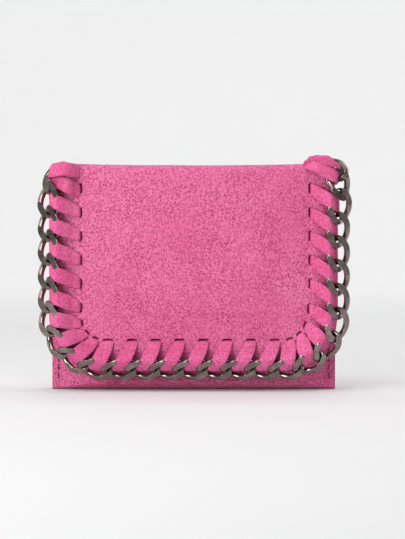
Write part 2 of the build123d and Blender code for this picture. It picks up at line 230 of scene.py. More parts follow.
class Nodes:
    """A new material and short ways to wire it."""

    def __init__(self, name):
        self.material = bpy.data.materials.new(name)
        self.material.use_nodes = True
        self.tree = self.material.node_tree
        self.shader = self.tree.nodes["Principled BSDF"]
        self.place = self.tree.nodes.new("ShaderNodeTexCoord").outputs["Object"]

    def add(self, kind, **values):
        node = self.tree.nodes.new(kind)
        for key, value in values.items():
            setattr(node, key, value)
        return node

    def link(self, source, target):
        self.tree.links.new(source, target)

    def noise(self, per_mm, detail=3.0, roughness=0.5):
        node = self.add("ShaderNodeTexNoise")
        node.inputs["Scale"].default_value = per_mm / MM
        node.inputs["Detail"].default_value = detail
        node.inputs["Roughness"].default_value = roughness
        self.link(self.place, node.inputs["Vector"])
        return node.outputs["Fac"]

    def warped_place(self, per_mm, amount_mm):
        """The object's own coordinates, pushed about by noise."""
        node = self.add("ShaderNodeTexNoise")
        node.inputs["Scale"].default_value = per_mm / MM
        node.inputs["Detail"].default_value = 2.0
        self.link(self.place, node.inputs["Vector"])
        centre = self.add("ShaderNodeVectorMath", operation="SUBTRACT")
        self.link(node.outputs["Color"], centre.inputs[0])
        centre.inputs[1].default_value = (0.5, 0.5, 0.5)
        scale = self.add("ShaderNodeVectorMath", operation="SCALE")
        self.link(centre.outputs[0], scale.inputs[0])
        scale.inputs["Scale"].default_value = amount_mm * MM
        total = self.add("ShaderNodeVectorMath", operation="ADD")
        self.link(self.place, total.inputs[0])
        self.link(scale.outputs[0], total.inputs[1])
        return total.outputs[0]

    def voronoi(self, per_mm, feature, vector):
        node = self.add("ShaderNodeTexVoronoi", feature=feature)
        node.inputs["Scale"].default_value = per_mm / MM
        self.link(vector, node.inputs["Vector"])
        return node.outputs["Distance"]

    def ramp(self, value, low, high, invert=False):
        node = self.add("ShaderNodeMapRange", clamp=True)
        node.interpolation_type = "SMOOTHSTEP"
        node.inputs["From Min"].default_value = low
        node.inputs["From Max"].default_value = high
        node.inputs["To Min"].default_value = 1.0 if invert else 0.0
        node.inputs["To Max"].default_value = 0.0 if invert else 1.0
        self.link(value, node.inputs["Value"])
        return node.outputs["Result"]

    def math(self, operation, a, b):
        node = self.add("ShaderNodeMath", operation=operation)
        for socket, value in zip(node.inputs, (a, b)):
            if isinstance(value, float):
                socket.default_value = value
            else:
                self.link(value, socket)
        return node.outputs[0]

    def mix(self, share, first, second):
        node = self.add("ShaderNodeMix", data_type="RGBA")
        share_socket, first_socket, second_socket = node.inputs[0], node.inputs[6], node.inputs[7]
        for socket, value in ((share_socket, share), (first_socket, first), (second_socket, second)):
            if isinstance(value, float):
                socket.default_value = value
            elif isinstance(value, tuple):
                socket.default_value = (*value, 1)
            else:
                self.link(value, socket)
        return node.outputs[2]

    def bump(self, height, depth_mm, strength=1.0):
        node = self.add("ShaderNodeBump")
        node.inputs["Distance"].default_value = depth_mm * MM
        node.inputs["Strength"].default_value = strength
        self.link(height, node.inputs["Height"])
        self.link(node.outputs[0], self.shader.inputs["Normal"])

    def colour(self, source):
        self.link(source, self.shader.inputs["Base Color"])

    def roughness(self, value, low, high):
        """Roughness from low to high along a value from 0 to 1."""
        node = self.add("ShaderNodeMapRange")
        node.inputs["To Min"].default_value = low
        node.inputs["To Max"].default_value = high
        self.link(value, node.inputs["Value"])
        self.link(node.outputs["Result"], self.shader.inputs["Roughness"])


def crackled_leather(name, base, dark, light, speckle=1.0, strip=False):
    """Brushed pink leather: fine dark pits and broken creases over cloudy colour, and on a strip painted
    shade along its two long edges.
    """
    n = Nodes(name)
    cells = n.voronoi(1.15, "DISTANCE_TO_EDGE", n.warped_place(0.9, 0.5))
    pits = n.voronoi(1.10, "F1", n.warped_place(1.1, 0.35))
    crease = n.ramp(cells, 0.03, 0.17, invert=True)
    pit = n.ramp(pits, 0.18, 0.50, invert=True)
    broken = n.ramp(n.noise(1.1, 2.0), 0.40, 0.58)
    patches = n.ramp(n.noise(0.075, 3.0, 0.6), 0.36, 0.62)
    creases = n.math("MULTIPLY", n.math("MULTIPLY", crease, broken), 0.70)
    deep = n.math("ADD", 0.62, n.math("MULTIPLY", patches, 0.38))
    marks = n.math("MAXIMUM", creases, n.math("MULTIPLY", pit, deep))
    cloud = n.mix(n.ramp(n.noise(0.045, 2.0, 0.5), 0.35, 0.68), base, light)
    nap = n.mix(n.ramp(n.noise(3.2, 3.0, 0.7), 0.30, 0.72), cloud, tuple(c * 0.86 for c in base))
    marks = n.math("MULTIPLY", marks, float(speckle))
    # Painted shade: on a lace strip the colour darkens along both long edges, standing in for the shade
    # at the lace's rims.
    if strip:
        edge_shade_mask = n.add("ShaderNodeAttribute", attribute_name="lace_edge_shade").outputs["Fac"]
        marks = n.math("MAXIMUM", marks, n.math("MULTIPLY", n.ramp(edge_shade_mask, 0.90, 1.0), 0.75))
    n.colour(n.mix(marks, nap, dark))
    fuzz = n.math("MULTIPLY", n.noise(2.6, 3.0, 0.65), 0.5)
    n.bump(n.math("SUBTRACT", fuzz, n.math("MULTIPLY", marks, 0.9)), 0.16, 0.75)
    n.roughness(n.noise(0.5, 3.0), 0.52, 0.72)
    n.shader.inputs["Sheen Weight"].default_value = 0.10
    n.shader.inputs["Sheen Roughness"].default_value = 0.45
    n.shader.inputs["Sheen Tint"].default_value = (1.0, 0.72, 0.86, 1)
    n.shader.inputs["Specular IOR Level"].default_value = 0.32
    return n.material


def smooth_leather(name, base, dark):
    """Finished inner leather with a small pebbled grain."""
    n = Nodes(name)
    grain = n.voronoi(2.2, "SMOOTH_F1", n.warped_place(1.2, 0.4))
    n.colour(n.mix(n.ramp(n.noise(0.12, 4.0), 0.3, 0.7), base, dark))
    n.bump(n.math("ADD", grain, n.math("MULTIPLY", n.noise(4.0), 0.3)), 0.09, 0.6)
    n.roughness(n.noise(0.6), 0.42, 0.60)
    n.shader.inputs["Specular IOR Level"].default_value = 0.4
    return n.material


def woven(name, base, dark, threads_per_mm=2.2):
    """Plain weave from two crossed wave patterns."""
    n = Nodes(name)
    waves = []
    for direction in ("X", "Z"):
        wave = n.add("ShaderNodeTexWave", bands_direction=direction)
        wave.inputs["Scale"].default_value = threads_per_mm / MM / 20
        wave.inputs["Distortion"].default_value = 0.6
        wave.inputs["Detail"].default_value = 2.0
        wave.inputs["Detail Scale"].default_value = 3.0
        n.link(n.place, wave.inputs["Vector"])
        waves.append(wave.outputs["Fac"])
    weave = n.math("MULTIPLY", waves[0], waves[1])
    shade = n.math("ADD", n.math("MULTIPLY", weave, 0.7), n.math("MULTIPLY", n.noise(0.2), 0.3))
    n.colour(n.mix(shade, dark, base))
    n.bump(weave, 0.15, 0.8)
    n.roughness(n.noise(1.0), 0.75, 0.9)
    n.shader.inputs["Sheen Weight"].default_value = 0.2
    return n.material


def gunmetal(name, base, wear_and_glint, roughness, edges=None):
    """Dark plated metal with fine scratches, paler where it rubs, and with a painted highlight on the
    bevels round its ground flats.
    """
    n = Nodes(name)
    rub = n.ramp(n.noise(0.35, 4.0, 0.6), 0.42, 0.75)
    plating = n.mix(rub, base, wear_and_glint)
    # Painted highlight: the bevels round the ground flats take a pale colour as a glint.
    if edges:
        edge = n.add("ShaderNodeAttribute", attribute_name="painted_glint").outputs["Fac"]
        plating = n.mix(edge, plating, edges)
    n.colour(plating)
    stretch = n.add("ShaderNodeMapping")
    stretch.inputs["Scale"].default_value = (1.0, 1.0, 9.0)
    n.link(n.place, stretch.inputs["Vector"])
    scratches = n.add("ShaderNodeTexNoise")
    scratches.inputs["Scale"].default_value = 1.4 / MM
    scratches.inputs["Detail"].default_value = 4.0
    n.link(stretch.outputs[0], scratches.inputs["Vector"])
    n.bump(scratches.outputs["Fac"], 0.012, 0.35)
    n.roughness(n.noise(1.3, 4.0), *roughness)
    n.shader.inputs["Metallic"].default_value = 1.0
    return n.material


def twisted_thread(name, base, dark):
    """Matt sewing thread."""
    n = Nodes(name)
    n.colour(n.mix(n.noise(5.0, 4.0), base, dark))
    n.bump(n.noise(7.0), 0.08, 0.8)
    n.roughness(n.noise(2.0), 0.55, 0.75)
    n.shader.inputs["Sheen Weight"].default_value = 0.2
    return n.material


pink = (0.74, 0.138, 0.325)
pink_dark = (0.36, 0.012, 0.085)
pink_light = (0.80, 0.205, 0.405)
outer_leather = crackled_leather("outer_leather", pink, pink_dark, pink_light)
lace_pink = (0.73, 0.105, 0.29)
lace_light = (0.83, 0.19, 0.41)
lace_leather = crackled_leather("lace_leather", lace_pink, pink_dark, lace_light, 0.75, strip=True)
inner_leather = smooth_leather("inner_leather", (0.62, 0.085, 0.25), (0.48, 0.055, 0.18))
lining_cloth = woven("lining_cloth", (0.060, 0.045, 0.055), (0.018, 0.014, 0.018))
tape_cloth = woven("tape_cloth", (0.45, 0.05, 0.17), (0.25, 0.02, 0.08), 3.0)
chain_dark = (0.215, 0.175, 0.160)
chain_worn = (0.37, 0.31, 0.285)
# Pale colour painted on the bevels round the links' ground flats as a highlight.
chain_glint = (0.86, 0.80, 0.76)
chain_metal = gunmetal("chain_metal", chain_dark, chain_worn, (0.08, 0.17), chain_glint)
fitting_metal = gunmetal("fitting_metal", (0.16, 0.15, 0.145), (0.33, 0.31, 0.30), (0.18, 0.30))
plated_steel = gunmetal("plated_steel", (0.42, 0.41, 0.40), (0.60, 0.59, 0.58), (0.25, 0.4))
magnet_black = gunmetal("magnet_black", (0.030, 0.030, 0.033), (0.07, 0.07, 0.075), (0.35, 0.5))
# Dark thread colour: partly the thread's own red, partly painted shade of the stitch holes.
thread_pink_and_hole_shade = twisted_thread("thread_pink_and_hole_shade", (0.30, 0.016, 0.09), (0.16, 0.008, 0.045))
fibre_board = woven("fibre_board", (0.30, 0.24, 0.18), (0.18, 0.14, 0.10), 1.0)

# ---------------------------------------------------------------- flap

fold_radius = 4.2
flap_columns = 121
ripple_size = 17.0


def top_dip(x):
    """How far the wallet's top edge sags between its corners."""
    return 0.9 * (1 - (abs(x) / half_width) ** 2.2)


def ripple(x, z, seed):
    """Gentle unevenness of leather, from -1 to 1."""
    return noise.noise(Vector((x / ripple_size, seed, z / ripple_size)))


def flap_inset(x, z):
    """Distance in from the flap's outline."""
    centre_x = max(-flap_half + flap_corner, min(flap_half - flap_corner, x))
    if z > flap_bottom + flap_corner:
        return flap_half - abs(x)
    return flap_corner - sqrt((x - centre_x) ** 2 + (z - flap_bottom - flap_corner) ** 2)


def flap_swell(x, z):
    """How far the flap's outer face stands in front of its plane."""
    inset = max(0.0, flap_inset(x, z))
    dome = 0.9 * smoothstep(inset, 8.0, 34.0) * smoothstep(top_z - z, 1.0, 22.0)
    groove = -0.22 * np.exp(-((inset - slot_inset) / 1.5) ** 2) * smoothstep(top_z - z, 2.0, 8.0)
    curl = -0.35 * (1 - smoothstep(inset, 0.0, 5.0))
    return dome + groove + curl + 0.28 * ripple(x, z, 3.1) * smoothstep(inset, 1.0, 14.0)


def flap_rows():
    """Rows of the flap's sheet from mid-spine down: y, z and half-width of each."""
    rows = []
    for y in np.linspace(fold_y, flap_face + fold_radius, 6)[:-1]:
        rows.append((y, top_z, flap_half - 0.2))
    for angle in np.linspace(0, pi / 2, 10):
        y = flap_face + fold_radius - fold_radius * sin(angle)
        rows.append((y, top_z - fold_radius * (1 - cos(angle)), flap_half - 0.2))
    corner_top = flap_bottom + flap_corner
    for z in np.linspace(top_z - fold_radius, corner_top, 48)[1:]:
        rows.append((flap_face, z, flap_half - 0.2 * smoothstep(z, corner_top, top_z)))
    for angle in np.linspace(0, pi / 2, 30)[1:]:
        z = corner_top - flap_corner * sin(angle)
        rows.append((flap_face, z, flap_half - flap_corner + flap_corner * cos(angle)))
    return rows


def flap_sheet(name, material, inset, thickness):
    """The flap's sheet, laid a given distance inside its outer face."""
    points = []
    rows = flap_rows()
    for y, z, half in rows:
        for u in np.linspace(-1, 1, flap_columns):
            x = u * (half - 0.15 * bool(inset))
            on_front = smoothstep(-y, -(flap_face + fold_radius), -(flap_face + 0.4))
            px, py, pz = x, y, z
            if inset:
                if y > flap_face + fold_radius - 1e-6:
                    pz = z - inset
                elif z > top_z - fold_radius:
                    angle = atan2(z - (top_z - fold_radius), flap_face + fold_radius - y)
                    py = y + inset * cos(angle)
                    pz = z - inset * sin(angle)
                else:
                    py = y + inset
            else:
                py = y - flap_swell(x, z) * on_front
            pz -= top_dip(x) * smoothstep(z, top_z - 16.0, top_z - 1.0)
            pz += 0.15 * ripple(x, 0, 8.0) * smoothstep(z, top_z - 6.0, top_z)
            points.append((px, py, pz))
    obj = new_object(name, points, grid_faces(len(rows), flap_columns), material)
    return thicken(obj, thickness, 0.32)


def on_flap(x, z, inset):
    """The point at a given inset from the flap's outline nearest to (x, z), and the way in."""
    centre_x = max(-flap_half + flap_corner, min(flap_half - flap_corner, x))
    centre_z = max(flap_bottom + flap_corner, z)
    away = Vector((x - centre_x, 0, z - centre_z)).normalized()
    return Vector((centre_x, 0, centre_z)) + away * (flap_corner - inset), -away


# A slot lies further along the chain than its link by its lead, and in from the outline by its inset
slot_lead, right_slot_lead = 5.0, 6.8
right_slot_inset = 8.8
top_slot_z = 84.0
first_wrap_lift = 1.5
slot_corners = 16


def in_corner(x, z):
    """0 on the flap's straight edges, 1 in the middle of its rounded corners."""
    return smoothstep(corner_z - z, 2.0, 9.0) * smoothstep(abs(x) - corner_x, 2.0, 9.0)


def wrap_at(index, x, z, roll, rise, lift):
    """A wrap of lace through a link: where it rounds the rim and where it enters the flap."""
    rim, inward = on_flap(x, z, 0)
    on_right = smoothstep(x, corner_x + 8.0, chain_side_x) * smoothstep(z, 14.0, 32.0)
    lead = slot_lead + (right_slot_lead - slot_lead) * on_right
    inset = slot_inset + (right_slot_inset - slot_inset) * on_right
    ahead_x, ahead_z, _ = chain_route(index * link_pitch + lead)
    slot, slot_inward = on_flap(ahead_x, min(ahead_z, top_slot_z), inset)
    return dict(
        x=x, z=z, rim=rim, inward=inward, travel=inward.cross(Vector((0, -1, 0))), roll=roll, rise=rise,
        slot=slot, slot_inward=slot_inward, crowding=in_corner(ahead_x, ahead_z), lift=lift,
    )


wraps = []
for index, (x, z, heading, roll, rise) in enumerate(seats[:-2]):
    wraps.append(wrap_at(index, x, z, roll, rise, 0.0 if index else first_wrap_lift))


def slot_cutter(half_length, half_height, shift=0.0):
    """Rounded slits for every wrap, as one object to cut with."""
    points, faces = [], []
    for wrap in wraps:
        inward = wrap["slot_inward"]
        along = inward.cross(Vector((0, -1, 0)))
        middle = wrap["slot"] + inward * shift
        start = len(points)
        outline = []
        for k in range(slot_corners):
            angle = 2 * pi * k / slot_corners
            a = (half_length - 0.75 * wrap["crowding"]) * np.sign(cos(angle)) * abs(cos(angle)) ** 0.5
            b = half_height * np.sign(sin(angle)) * abs(sin(angle)) ** 0.8
            outline.append(middle + along * a + inward * b)
        for y in (flap_face - 4, flap_back + 3):
            points.extend([(p.x, y, p.z) for p in outline])
        back = start + slot_corners
        for k in range(slot_corners):
            following = (k + 1) % slot_corners
            faces.append((start + k, back + k, back + following, start + following))
        faces.append(tuple(start + k for k in range(slot_corners)))
        faces.append(tuple(back + k for k in reversed(range(slot_corners))))
    return new_object("slot_cutter", points, faces, outer_leather)


flap_leather = flap_sheet("flap_leather", outer_leather, 0.0, leather)
cut(flap_leather, slot_cutter(2.0, 0.82, 0.22))
flap_inside = flap_sheet("flap_inside", inner_leather, flap_back - flap_face - 0.75, 0.7)
cut(flap_inside, slot_cutter(2.1, 0.9, 0.2))
for piece, slot_name, nodes in (
    (flap_leather, "outer_leather", ("flap_outer", "spine_outer")),
    (flap_inside, "lining_cloth", ("flap_lining", "spine_lining")),
):
    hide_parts(*nodes)

# ---------------------------------------------------------------- pouch

mouth_z = 62.0
seam_start = 51.5
seam_front, seam_back = -2.7, 2.6
lining_limit = 50.9


def pinch(x):
    """0 in the side seams, 1 in the middle of the pouch."""
    share = min(1.0, abs(x) / seam_start)
    return (1 - share**3.4) ** 0.85


def pouch_columns():
    """Places across the pouch, close together at the side seams."""
    edge = [half_width, half_width - 0.5, 54.0, 53.2, 52.4, seam_start, lining_limit, 50.0, 49.0, 47.9]
    middle = list(np.linspace(46.8, -46.8, 75))
    return [-x for x in edge] + middle[::-1] + edge[::-1]


def pouch_profile(x, inset):
    """Side view of the pouch at x, from the mouth's front edge round the base to mid-spine."""
    swell = pinch(x)
    front = seam_front + (pouch_low.y + 0.15 - seam_front) * swell + inset
    back = seam_back + (pouch_high.y - 0.15 - seam_back) * swell - inset
    base = 0.05 + inset
    front_base = base + 1.3 * (1 - (abs(x) / half_width) ** 2.4)
    turn = 1.0 + 2.4 * swell
    middle = (front + back) / 2
    half = (back - front) / 2
    rows = []
    mouth = mouth_z - 1.3 * (1 - (x / half_width) ** 2) - 0.4 * bool(inset)
    for z in np.linspace(mouth, front_base + turn, 40)[:-1]:
        sag = 0.35 * ripple(x, z, 5.0) * swell
        rows.append((front - sag * (not inset), z))
    for angle in np.linspace(0, pi, 17):
        c, s = cos(angle), sin(angle)
        y = middle - half * np.sign(c) * abs(c) ** 0.7
        low = base + (front_base - base) * smoothstep(c, -0.2, 1.0)
        rows.append((y, low + turn - turn * abs(s) ** 0.75))
    shoulder = 83.2
    for z in np.linspace(base + turn, shoulder, 52)[1:]:
        sag = 0.35 * ripple(x, z, 9.0) * swell
        rows.append((back + sag * (not inset), z))
    top = top_z - top_dip(x) - inset
    across = 4.6 - inset * 0.5
    for angle in np.linspace(0, pi / 2, 10)[1:]:
        y = back - across * (1 - cos(angle))
        rows.append((y, shoulder + (top - shoulder) * sin(angle)))
    for y in np.linspace(back - across, fold_y, 6)[1:]:
        rows.append((y, top + 0.15 * ripple(x, 0, 8.0)))
    return rows


def pouch_sheet(name, material, inset, thickness, limit):
    """The pouch's front, base and back as one sheet, out to a limit each side."""
    columns = [x for x in pouch_columns() if abs(x) <= limit + 1e-6]
    profiles = [pouch_profile(x, inset) for x in columns]
    rows = len(profiles[0])
    points = [(columns[j], *profiles[j][i]) for i in range(rows) for j in range(len(columns))]
    obj = new_object(name, points, grid_faces(rows, len(columns)), material)
    return thicken(obj, thickness, 0.3)


pouch_leather = pouch_sheet("pouch_leather", outer_leather, 0.0, leather, half_width)
pouch_lining = pouch_sheet("pouch_lining", lining_cloth, leather + 0.05, 0.35, lining_limit)
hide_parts("outer_shell")
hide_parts("shell_lining")

# ---------------------------------------------------------------- lace

lace_thickness = 1.0
lace_width = 6.0
slot_width = 4.5
strip_ring = 14
wrap_rings, tied_rings = 64, 44
link_half_height = 3.6


def strip_mesh(path, widths, sides, thickness):
    """Points and faces of a flat strip along a path, its width along each side direction."""
    points, faces = [], []
    count = len(path)
    ring = strip_ring
    for k in range(count):
        ahead = Vector(path[min(k + 1, count - 1)]) - Vector(path[max(k - 1, 0)])
        side = Vector(sides[k]).normalized()
        up = side.cross(ahead).normalized()
        half_w, half_t = widths[k] / 2, thickness / 2
        for r in range(ring):
            angle = 2 * pi * r / ring
            c, s = cos(angle), sin(angle)
            a = half_w * np.sign(c) * abs(c) ** 0.35
            b = half_t * np.sign(s) * abs(s) ** 0.7
            points.append(Vector(path[k]) + side * a + up * b)
    for k in range(count - 1):
        for r in range(ring):
            a, b = k * ring + r, k * ring + (r + 1) % ring
            faces.append((a, b, b + ring, a + ring))
    faces.append(tuple(range(ring - 1, -1, -1)))
    faces.append(tuple((count - 1) * ring + r for r in range(ring)))
    return points, faces


def wrap_path(wrap, behind):
    """Knots of one wrap: in from the rim, out from the flap's face and along the rim."""
    x, z = wrap["x"], wrap["z"]
    outside = (wrap["rim"] - Vector((x, 0, z))).dot(wrap["inward"])
    lean = radians(wrap["roll"])
    strand_in = -outside + link_half_height * cos(lean)
    strand_out = wrap["rise"] + link_half_height * sin(lean) - 0.4
    crest = strand_out + 1.1 + lace_thickness / 2 + wrap["lift"]
    slot = wrap["slot"] - wrap["rim"]
    reach, ahead = slot.dot(wrap["inward"]), slot.dot(wrap["travel"])
    slope = ahead / (reach + outside)
    edge = -max(0.75, outside - 0.35)

    def at(n, v, shift=0.0):
        return (n, v, slope * (n - edge) + shift)

    knots = [
        at(reach - 0.25, -1.9),
        at(reach - 0.25, -0.5),
        at(reach - 0.55, 0.30),
        at(reach - 1.4, 0.60),
        at(reach - 3.0, 0.60 + 0.12 * crest),
        at((reach + strand_in) / 2 - 0.4, 0.5 + 0.42 * crest),
        at(strand_in + 1.3, crest - 0.55),
        at(strand_in - 0.2, crest),
        at(strand_in - 1.9, crest - 1.3),
        at(edge + 0.1, strand_out - 1.5),
        at(edge, 0.2),
        at(edge + 0.1, -1.6),
    ]
    if behind is not None:
        back = behind - wrap["rim"]
        back_reach, back_along = back.dot(wrap["inward"]), back.dot(wrap["travel"])
        drop = back_along / back_reach
        under = flap_face - flap_back - 0.55
        knots += [
            (edge + 0.9, under + 0.1, drop * 0.6),
            (2.2, under, drop * 2.2),
            (back_reach - 2.0, under, drop * (back_reach - 2.0)),
            (back_reach - 0.3, under + 0.25, back_along),
            (back_reach + 0.1, under + 0.9, back_along),
        ]
    else:
        knots += [(edge + 0.9, -2.5, 0), (3.0, -2.6, 0.4), (7.0, -2.6, 1.0)]
    return knots


def lace_wrap(wrap, behind, seed):
    """One wrap of lace, narrowed and turned where it passes through its slot."""
    path = spline(wrap_path(wrap, behind), wrap_rings)
    points, widths, sides = [], [], []
    length = len(path)
    for k, (n, v, t) in enumerate(path):
        place = wrap["rim"] + wrap["inward"] * n + wrap["travel"] * t
        wobble = 0.18 * noise.noise(Vector((seed * 3.7, k * 0.09, 1.5)))
        lift = flap_swell(place.x, place.z) if v > -1 and n > 2.0 else 0.0
        points.append(Vector((place.x, flap_face - v - lift - wobble * 0.6, place.z + wobble)))
        share = k / (length - 1)
        near_slot = smoothstep(share, 0.03, 0.20) * smoothstep(1 - share, 0.02, 0.12)
        end_width = slot_width - 1.3 * wrap["crowding"]
        widths.append(end_width + (lace_width - end_width) * near_slot + 0.2 * wobble)
        tilt = 0.08 * noise.noise(Vector((seed * 1.9, k * 0.05, 7.5)))
        blend_to_slot = 1 - smoothstep(share, 0.0, 0.25)
        slot_along = wrap["slot_inward"].cross(Vector((0, -1, 0)))
        along = wrap["travel"] * (1 - blend_to_slot) + slot_along * blend_to_slot
        sides.append(along + Vector((0, tilt, 0)))
    return strip_mesh(points, widths, sides, lace_thickness)


lace_points, lace_faces = [], []


def add_strip(points, faces):
    """Add a strip's mesh to the lace."""
    start = len(lace_points)
    lace_points.extend(points)
    lace_faces.extend(tuple(start + i for i in face) for face in faces)


for index, wrap in enumerate(wraps):
    behind = wraps[index - 1]["slot"] if index else None
    add_strip(*lace_wrap(wrap, behind, index + 1))

# The lace's two ends, tied over the first and the last link at the flap's top corners
left_end = [
    (-44.6, -1.2, 85.2), (-45.2, 1.2, 85.4), (-47.2, 4.8, 85.8), (-50.0, 6.3, 86.1),
    (-53.0, 6.0, 86.0), (-55.2, 3.2, 85.2), (-55.8, 0.2, 84.7), (-54.8, -1.8, 84.5),
]
last_wrap = [
    (44.0, -1.0, 88.2), (44.8, 1.6, 88.1), (46.8, 4.4, 87.6), (50.0, 5.3, 86.0),
    (53.6, 4.6, 83.9), (55.8, 2.4, 82.7), (56.2, 0.0, 82.2), (55.0, -2.0, 82.0),
]
right_end = [
    (43.6, -3.4, 86.2), (44.0, -1.6, 88.0), (45.6, 2.4, 89.4), (47.8, 5.6, 90.2),
    (50.6, 6.8, 89.8), (53.2, 6.2, 88.4), (55.2, 3.2, 86.6), (55.6, -1.2, 85.2),
]
right_end_middle = Vector((49.4, 0, 86.0))


def tied_end(knots, seed, side_at, width):
    """A rumpled strip of lace through knots of x, height above the flap's face, and z."""
    points, sides, widths = [], [], []
    for k, (x, v, z) in enumerate(spline(knots, tied_rings)):
        wobble = noise.noise(Vector((k * 0.22, seed, 0.5)))
        point = Vector((x, flap_face - v - 0.25 * wobble, z + 0.2 * wobble))
        points.append(point)
        sides.append(side_at(point) + Vector((0, 0.5 * wobble, 0)))
        widths.append(width * (0.86 + 0.14 * sin(pi * k / (tied_rings - 1))) + 0.35 * wobble)
    return strip_mesh(points, widths, sides, lace_thickness)


def left_side(point):
    return Vector((0.15, 0.35, 1))


def wrap_side(point):
    return Vector((0.45, 0.1, 0.9))


def right_side(point):
    away = point - right_end_middle
    return Vector((away.x, 0, away.z)).normalized() * 0.75 - Vector((0, 0.65, 0))


add_strip(*tied_end(left_end, 2.0, left_side, 5.9))
add_strip(*tied_end(last_wrap, 4.0, wrap_side, 4.9))
add_strip(*tied_end(right_end, 6.0, right_side, 4.3))

edge_lace = new_object("lace", lace_points, lace_faces, lace_leather)
# Painted shade mask: 1 along the lace strips' two long edges, 0 across their middle.
lace_edge_shade = edge_lace.data.attributes.new("lace_edge_shade", "FLOAT", "POINT")
across = [abs(cos(2 * pi * (k % strip_ring) / strip_ring)) for k in range(len(lace_points))]
lace_edge_shade.data.foreach_set("value", across)
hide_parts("edge_lace")
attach(edge_lace, "flap")

# ---------------------------------------------------------------- chain

wire = 2.35
link_reach = 6.1
link_twist = 50.0
link_flat = 1.75
link_squareness = 2.4
link_edge = 0.3
link_rings, link_ring = 76, 22


def link_line(angle):
    """A twisted loop: a superellipse turned about the chain's axis by its place along it."""
    power = 2 / link_squareness
    x = link_reach * np.sign(cos(angle)) * abs(cos(angle)) ** power
    height = link_half_height * np.sign(sin(angle)) * abs(sin(angle)) ** power
    turn = radians(-link_twist) * x / link_reach
    return Vector((x, height * cos(turn), height * sin(turn)))


def even_loop(count, samples=720):
    """Centres and directions at an even spacing round the link's loop."""
    raw = [link_line(2 * pi * k / samples) for k in range(samples)]
    steps = [0.0]
    for k in range(samples):
        steps.append(steps[-1] + (raw[(k + 1) % samples] - raw[k]).length)
    for k in range(count):
        at = steps[-1] * k / count
        i = int(np.searchsorted(steps, at, side="right")) - 1
        share = (at - steps[i]) / (steps[i + 1] - steps[i])
        centre = raw[i % samples].lerp(raw[(i + 1) % samples], share)
        yield centre, (raw[(i + 4) % samples] - raw[(i - 4) % samples]).normalized()


def link_shape():
    """One link about its own middle: round wire with its front and back ground flat."""
    points, faces = [], []
    for centre, tangent in even_loop(link_rings):
        across = tangent.cross(Vector((0, 0, 1))).normalized()
        up = across.cross(tangent).normalized()
        for r in range(link_ring):
            angle = 2 * pi * r / link_ring
            points.append(centre + (across * cos(angle) + up * sin(angle)) * wire / 2)
    for k in range(link_rings):
        row, next_row = k * link_ring, (k + 1) % link_rings * link_ring
        for r in range(link_ring):
            s = (r + 1) % link_ring
            faces.append((row + r, row + s, next_row + s, next_row + r))
    mesh = bpy.data.meshes.new("link_shape")
    mesh.from_pydata(points, [], faces)
    bm = bmesh.new()
    bm.from_mesh(mesh)
    # Mask of the painted highlight: the bevels round the ground flats.
    painted_glint = bm.faces.layers.float.new("painted_glint")
    for side in (1, -1):
        geometry = bm.verts[:] + bm.edges[:] + bm.faces[:]
        bmesh.ops.bisect_plane(
            bm, geom=geometry, plane_co=(0, 0, side * link_flat), plane_no=(0, 0, side), clear_outer=True
        )
        rim = [edge for edge in bm.edges if edge.is_boundary]
        flats = bmesh.ops.edgeloop_fill(bm, edges=rim)["faces"]
        crease = list({edge for face in flats for edge in face.edges})
        rounded = bmesh.ops.bevel(
            bm, geom=crease, offset=link_edge, segments=2, affect="EDGES", clamp_overlap=True
        )
        for face in rounded["faces"]:
            face[painted_glint] = 1.0
    bmesh.ops.recalc_face_normals(bm, faces=bm.faces[:])
    bm.to_mesh(mesh)
    bm.free()
    wear_and_glint = [item.value for item in mesh.attributes["painted_glint"].data]
    return [v.co.copy() for v in mesh.vertices], [tuple(p.vertices) for p in mesh.polygons], wear_and_glint


link_points, link_faces, link_glint = link_shape()


def link_frame(x, z, heading, roll, rise):
    """Matrix of a link: X along the chain, Y towards the flap's middle, Z away from its face."""
    travel = Vector((cos(radians(heading)), 0, sin(radians(heading))))
    outward = Vector((0, -1, 0))
    inward = outward.cross(travel)
    tipped = outward * cos(radians(roll)) - inward * sin(radians(roll))
    across = tipped.cross(travel)
    matrix = Matrix((travel, across, tipped)).transposed().to_4x4()
    matrix.translation = Vector((x, flap_face - rise, z))
    return matrix


for number, seat in enumerate(seats, start=1):
    matrix = link_frame(*seat)
    link = new_object(f"link_{number:02d}", [matrix @ p for p in link_points], link_faces, chain_metal)
    link.data.set_sharp_from_angle(angle=radians(24))
    # Painted highlight mask on the bevels round the ground flats, read by the metal's colour.
    painted_glint = link.data.attributes.new("painted_glint", "FLOAT", "FACE")
    painted_glint.data.foreach_set("value", link_glint)
    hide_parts(f"chain_link_{number:02d}")
    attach(link, "flap")

# ---------------------------------------------------------------- stitches

stitch_pitch = 3.2
stitch_x = half_width - 2.4
thread_radius = 0.27
thread_rings, thread_ring = 9, 8


def thread(points_mm, radius):
    """A short round thread through points, with closed ends."""
    path = spline(points_mm, thread_rings)
    last = thread_rings - 1
    points, faces = [], []
    for k, centre in enumerate(path):
        ahead = Vector(path[min(k + 1, last)]) - Vector(path[max(k - 1, 0)])
        side = Vector((1, 0, 0))
        up = side.cross(ahead).normalized()
        taper = radius * (0.55 if k in (0, last) else 1.0)
        for r in range(thread_ring):
            angle = 2 * pi * r / thread_ring
            points.append(Vector(centre) + (side * cos(angle) + up * sin(angle)) * taper)
    for k in range(last):
        for r in range(thread_ring):
            a, b = k * thread_ring + r, k * thread_ring + (r + 1) % thread_ring
            faces.append((a, b, b + thread_ring, a + thread_ring))
    faces.append(tuple(reversed(range(thread_ring))))
    faces.append(tuple(last * thread_ring + r for r in range(thread_ring)))
    return points, faces


